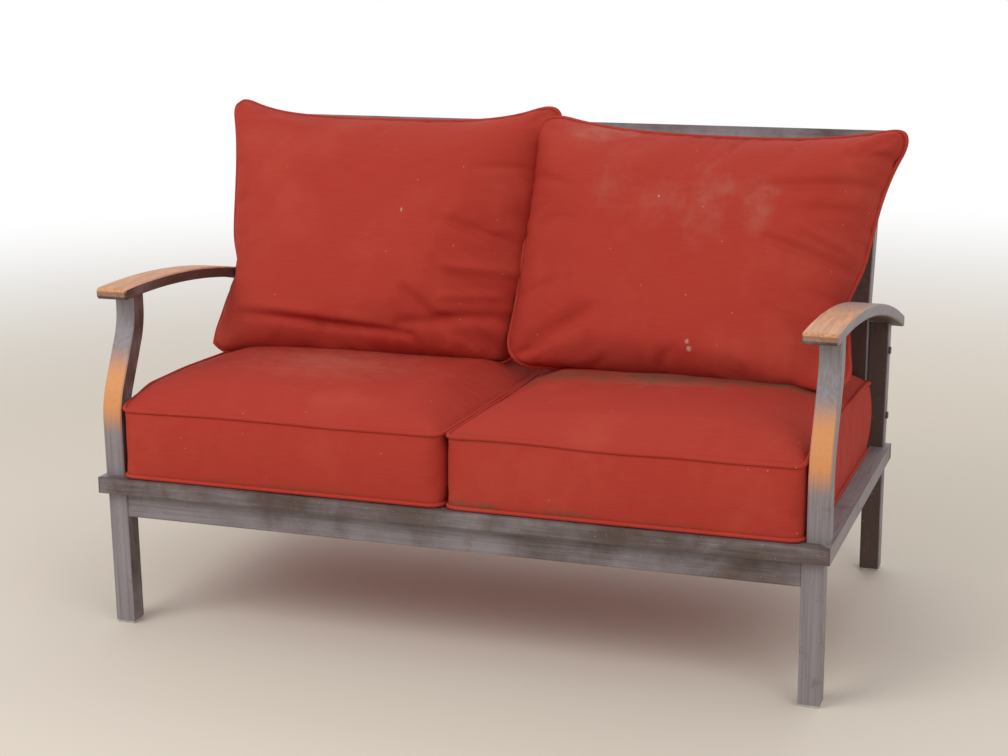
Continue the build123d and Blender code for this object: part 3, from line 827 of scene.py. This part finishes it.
# Ripples that the sewing gathers beside the seams: height, reach and number per metre
ripple_height, ripple_reach = 0.0030, 0.035
ripples_along, ripples_away = 46, 9
# Where they start, in metres on the pillow's plane, the upper one from the upper corners
lower_seam, upper_seam, outer_seam = 0.01, -0.025, 0.64
# Towards the arm the cushion below is lower, from this distance from the middle on
droop_start, droop_run, droop_most = 0.54, 0.09, 0.022


def make_pillow(side, hand, shape, material, piping_material):
    """Two panels sewn round the edge. Local X runs outwards, so the left one is mirrored."""
    front_depth, back_depth = shape["depths"]
    mesh = bmesh.new()
    cover = mesh.loops.layers.uv.new("cover")
    seam = mesh.verts.layers.int.new("seam")
    panels = []
    for facing in (1, -1):
        made = bmesh.ops.create_grid(
            mesh, x_segments=segments_x, y_segments=segments_y, size=1, calc_uvs=False
        )["verts"]
        for vertex in made:
            vertex.co.z = facing * 1e-3
        panels.append(made)
    rim = []
    seed = 2.0 + hand
    for facing, made in zip((1, -1), panels):
        depth = front_depth if facing > 0 else back_depth
        for vertex in made:
            s, t = vertex.co.x, vertex.co.y
            # The corners of the cover are cut round, and the arm presses into the outer side
            x, y = round_corner(
                s * half_panel_x, t * half_panel_y, half_panel_x, half_panel_y, shape["round"]
            )
            point = pillow_point(shape, x / half_panel_x, y / half_panel_y)
            beside_arm = math.exp(-((point.y - arm_along) / arm_spread) ** 2)
            point.x -= beside_arm * max(0.0, s) ** 6 * shape["press"]
            power = rise_power - arm_power_drop * max(0.0, s)
            fullness = max(0.0, (1 - s ** 4) * (1 - t ** 4)) ** power
            ear = shape["ears"][(t > 0) * 2 + (s > 0)] * (abs(s) * abs(t)) ** 2.5
            lump = 1 + lump_share * noise.noise(
                Vector((s * lumps_per_side, t * lumps_per_side, seed))
            )
            twist = shape["twist"] * max(0.0, -s) ** 3 + wobble(point.x, point.y, seed) * 1.3
            out = facing * depth * fullness * lump + twist + ear
            out += shape["swing"] * (s + 1) / 2 * ((1 - t) / 2) ** 2
            # The filling settles: the front belly hangs low, and behind a raised seam the back
            # panel bulges out under it
            if facing > 0:
                low = math.exp(-(point.y / sag_height) ** 2)
                point.y -= shape["sag"] * fullness * low
            else:
                under = max(0.0, 1 - abs(t - hang_middle) / hang_spread)
                point.y -= shape["hang"] * (s + 1) / 2 * (1 - abs(s) ** 10) * under
            if fullness == 0.0:
                rim.append((vertex, s, t))
                vertex[seam] = 1
            vertex.co = (point.x, point.y, out)
    for face in mesh.faces:
        for loop in face.loops:
            loop[cover].uv = (loop.vert.co.x, loop.vert.co.y + (0 if loop.vert.co.z > 0 else 2))
    front_rim = sorted(rim[:len(rim) // 2], key=lambda r: math.atan2(r[2], r[1]))
    seam_line = [r[0].co.copy() for r in front_rim]
    bmesh.ops.remove_doubles(mesh, verts=[r[0] for r in rim], dist=1e-5)
    if hand < 0:
        bmesh.ops.scale(mesh, vec=(-1, 1, 1), verts=mesh.verts)
        seam_line = [Vector((-p.x, p.y, p.z)) for p in seam_line]
    bmesh.ops.transform(mesh, matrix=pillow_place, verts=mesh.verts)
    seam_line = [pillow_place @ p for p in seam_line]
    mesh.verts.index_update()
    held = [v.index for v in mesh.verts if v[seam] == 1]
    # A corner's square is cut from the corner inwards, so that the panels share only the seam
    for face in mesh.faces[:]:
        for place, tip in enumerate(face.verts):
            if len(tip.link_edges) == 2:
                bmesh.utils.face_split(face, tip, face.verts[place - 2])
                break
    # The seam stays a sharp edge when the cover is refined
    crease = mesh.edges.layers.float.new("crease_edge")
    for edge in mesh.edges:
        if edge.verts[0][seam] == 1 and edge.verts[1][seam] == 1:
            edge[crease] = 1.0
    pillow = to_object(mesh, side + "_back_pillow_cover", material)
    inflate(pillow, held, pressure=2.2, slack=0.012, cap=0.014, stiffness=9)
    refine(pillow)
    to_pillow = pillow_place.inverted()
    cushion_top = seat_corner + off_seat * pillow_rest
    inner_x, top_y = shape["corners"][0][0], shape["corners"][2][1]
    normals = [v.normal.copy() for v in pillow.data.vertices]
    for vertex, normal in zip(pillow.data.vertices, normals):
        local = to_pillow @ vertex.co
        x, y = local.x * hand, local.y
        ripple = 0.0
        for distance, run in (
            (abs(y - lower_seam), x),
            (abs(y - top_y - upper_seam), x),
            (abs(x - inner_x), y),
            (abs(x - outer_seam), y),
        ):
            pull = math.exp(-distance / ripple_reach)
            wave = Vector((run * ripples_along, distance * ripples_away, seed + 5))
            ripple += pull * noise.noise(wave)
        ripple *= ripple_height
        if local.z > 0:
            ripple += fold_depth(x, y, shape["folds"])
        vertex.co += normal * ripple
        # No point goes below the top of the seat cushion
        droop = droop_most * max(0.0, (abs(vertex.co.x) - droop_start) / droop_run) ** 2
        under = (cushion_top - vertex.co).dot(off_seat) - min(droop, droop_most)
        if under > 0:
            vertex.co += off_seat * under
    body = side + "_back"
    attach(pillow, body)
    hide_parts(side + "_back_pillow")
    cord = piping(side + "_back_pillow_piping", seam_line, piping_material)
    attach(cord, body)


# Metres on the pillow's own plane. The corners run from the lower inner one round by the outer
# side and are cut to the radius round. bottom, top, inner and outer say how far that seam is
# drawn in and how sharply, and depths how far the front and the back panel stand out. The ears,
# lower then upper and inner then outer, lean forward, or back below zero, and so does the inner
# side by twist. The front belly sinks by sag and the back panel by hang, the arm presses in by
# press, and the lower outer corner comes forward by swing. A fold runs from its start to its
# end with a width and a height, below zero for a crease.
right_pillow_shape = {
    "corners": [(-0.044, -0.014), (0.656, -0.036), (0.722, 0.496), (-0.040, 0.508)],
    "bottom": (0.006, 6), "top": (0.038, 3.0), "inner": (0.010, 5), "outer": (0.054, 3.4),
    "round": 0.062, "depths": (0.105, 0.122), "twist": 0.010, "sag": 0.06, "hang": 0.0,
    "press": 0.014, "swing": 0.05, "ears": (0.020, 0.050, 0.010, 0.022),
    "folds": [
        ((0.61, 0.20), (0.47, 0.24), 0.010, -0.012),
        ((0.62, 0.23), (0.52, 0.27), 0.010, 0.009),
        ((0.64, 0.36), (0.44, 0.34), 0.012, -0.012),
        ((0.63, 0.31), (0.52, 0.30), 0.010, -0.007),
        ((0.68, 0.42), (0.60, 0.42), 0.009, -0.009),
        ((0.62, 0.06), (0.48, 0.11), 0.010, -0.007),
        ((0.64, 0.03), (0.52, 0.05), 0.009, 0.006),
        ((0.62, 0.13), (0.54, 0.15), 0.009, -0.005),
        ((-0.02, 0.12), (0.09, 0.15), 0.010, -0.005),
        ((-0.02, 0.36), (0.08, 0.33), 0.010, -0.005),
        ((0.20, 0.455), (0.24, 0.41), 0.008, -0.006),
        ((0.38, 0.455), (0.37, 0.41), 0.008, -0.006),
    ],
}
left_pillow_shape = {
    "corners": [(0.026, -0.008), (0.642, -0.044), (0.736, 0.544), (-0.018, 0.540)],
    "bottom": (0.006, 6), "top": (0.062, 4.0), "inner": (0.012, 4), "outer": (0.026, 4),
    "round": 0.058, "depths": (0.105, 0.122), "twist": -0.010, "sag": 0.03, "hang": 0.035,
    "press": 0.016, "swing": 0.06, "ears": (-0.020, 0.045, 0.010, -0.022),
    "folds": [
        ((0.02, 0.22), (0.18, 0.25), 0.011, -0.011),
        ((0.02, 0.17), (0.16, 0.16), 0.011, 0.009),
        ((0.02, 0.38), (0.12, 0.36), 0.009, -0.005),
        ((0.04, 0.08), (0.24, 0.04), 0.011, -0.010),
        ((0.05, 0.12), (0.16, 0.10), 0.009, 0.006),
        ((0.57, 0.034), (0.22, 0.022), 0.008, -0.012),
        ((0.57, 0.054), (0.30, 0.042), 0.011, 0.006),
        ((0.63, 0.45), (0.55, 0.40), 0.011, -0.005),
        ((0.60, 0.46), (0.50, 0.44), 0.010, 0.004),
    ],
}
right_back_fabric = woven_fabric(
    "terracotta_woven_right_back",
    stains=[
        # Paler patches in a band across the upper front of the pillow, and one near its top
        ((0.16, 0.16, 0.778), (0.06, 0.12, 0.06), 0.15),
        ((0.26, 0.13, 0.760), (0.07, 0.12, 0.05), 0.12),
        ((0.35, 0.12, 0.745), (0.05, 0.12, 0.09), 0.17),
        ((0.45, 0.13, 0.756), (0.045, 0.12, 0.05), 0.24),
        ((0.40, 0.13, 0.790), (0.12, 0.12, 0.03), 0.11),
        ((0.10, 0.25, 0.87), (0.10, 0.10, 0.02), 0.30),
        # Small pale dots a few millimetres wide
        ((0.342, -0.01, 0.526), (0.005, 0.06, 0.006), 3.0),
        ((0.346, -0.02, 0.513), (0.005, 0.06, 0.006), 3.0),
        ((0.255, 0.095, 0.772), (0.002, 0.06, 0.002), 2.0),
    ],
)
left_back_fabric = woven_fabric(
    "terracotta_woven_left_back",
    stains=[
        # A small pale dot a few millimetres wide
        ((-0.255, 0.075, 0.729), (0.002, 0.06, 0.004), 1.6),
    ],
)
make_pillow("right", 1, right_pillow_shape, right_back_fabric, piping_fabric)
make_pillow("left", -1, left_pillow_shape, left_back_fabric, piping_fabric)

# Floor, light and camera
# A pale matt studio floor that fades to white, three soft square lamps of which the one in
# front on the left is strongest, and the photograph's viewpoint, 1.3 m up and 3.5 m away.
floor_radius, fade_near, fade_far = 14, 1.6, 5.0
floor_mesh = bmesh.new()
bmesh.ops.create_circle(floor_mesh, cap_ends=True, radius=floor_radius, segments=96)
floor_data = bpy.data.meshes.new("studio_floor")
floor_mesh.to_mesh(floor_data)
floor_mesh.free()
floor = bpy.data.objects.new("studio_floor", floor_data)
bpy.context.scene.collection.objects.link(floor)


def seen_directly(tree):
    """1 for the rays that show the backdrop as white: the camera's, and gloss and glass."""
    ray = add_node(tree, "LightPath").outputs
    seen = add_node(
        tree, "Math", {0: ray["Is Camera Ray"], 1: ray["Is Glossy Ray"]}, operation="MAXIMUM"
    ).outputs[0]
    return add_node(
        tree, "Math", {0: seen, 1: ray["Is Transmission Ray"]}, operation="MAXIMUM"
    ).outputs[0]


floor_paint = new_material("pale_floor_paint")
tree = floor_paint.node_tree
place = add_node(tree, "TexCoord").outputs["Object"]
far = add_node(tree, "VectorMath", {0: place}, operation="LENGTH").outputs["Value"]
fade = add_node(
    tree, "MapRange", {"Value": far, "From Min": fade_near, "From Max": fade_far},
    interpolation_type="SMOOTHSTEP",
).outputs[0]
matt = add_node(
    tree, "BsdfPrincipled", {"Base Color": colour("#dcd2c4"), "Roughness": 0.8}
).outputs[0]
white = add_node(tree, "Emission", {"Color": (1, 1, 1, 1), "Strength": 1.0}).outputs[0]
whiten = add_node(
    tree, "Math", {0: seen_directly(tree), 1: fade}, operation="MULTIPLY"
).outputs[0]
surface = add_node(tree, "MixShader", {0: whiten, 1: matt, 2: white}).outputs[0]
add_node(tree, "OutputMaterial", {"Surface": surface})
floor_data.materials.append(floor_paint)

sky_strength = 0.62
world = bpy.data.worlds.new("studio")
bpy.context.scene.world = world
world.use_nodes = True
tree = world.node_tree
tree.nodes.clear()
soft = add_node(
    tree, "Background", {"Color": (1, 1, 1, 1), "Strength": sky_strength}
).outputs[0]
white = add_node(tree, "Background", {"Color": (1, 1, 1, 1), "Strength": 1.0}).outputs[0]
sky = add_node(tree, "MixShader", {0: seen_directly(tree), 1: soft, 2: white}).outputs[0]
add_node(tree, "OutputWorld", {"Surface": sky})

lamps_aim = Vector((0, 0, 0.45))
for name, place, size, power in (
    ("key_lamp", (-1.8, -2.6, 3.0), 2.2, 62),
    ("fill_lamp", (2.6, -2.4, 2.4), 2.0, 22),
    ("back_lamp", (0.3, 2.4, 2.8), 2.0, 20),
):
    lamp = bpy.data.lights.new(name, "AREA")
    lamp.shape = "SQUARE"
    lamp.size = size
    lamp.energy = power
    holder = bpy.data.objects.new(name, lamp)
    holder.location = place
    aim = lamps_aim - Vector(place)
    holder.rotation_mode = "QUATERNION"
    holder.rotation_quaternion = aim.to_track_quat("-Z", "Y")
    bpy.context.scene.collection.objects.link(holder)

# Solved from the frame's edges in the photograph, in metres, millimetres and degrees
camera_spot = (1.12082, -3.34744, 1.32580)
focal_length = 67.754
camera_turn, camera_dip, camera_roll = 18.914, 14.353, -0.632
lens = bpy.data.cameras.new("photograph_camera")
lens.sensor_width = 36
lens.lens = focal_length
camera = bpy.data.objects.new("photograph_camera", lens)
camera.matrix_world = (
    Matrix.Translation(camera_spot)
    @ Matrix.Rotation(math.radians(camera_turn), 4, "Z")
    @ Matrix.Rotation(math.radians(90 - camera_dip), 4, "X")
    @ Matrix.Rotation(math.radians(camera_roll), 4, "Z")
)
bpy.context.scene.collection.objects.link(camera)
bpy.context.scene.camera = camera
bpy.context.scene.view_settings.view_transform = "Standard"
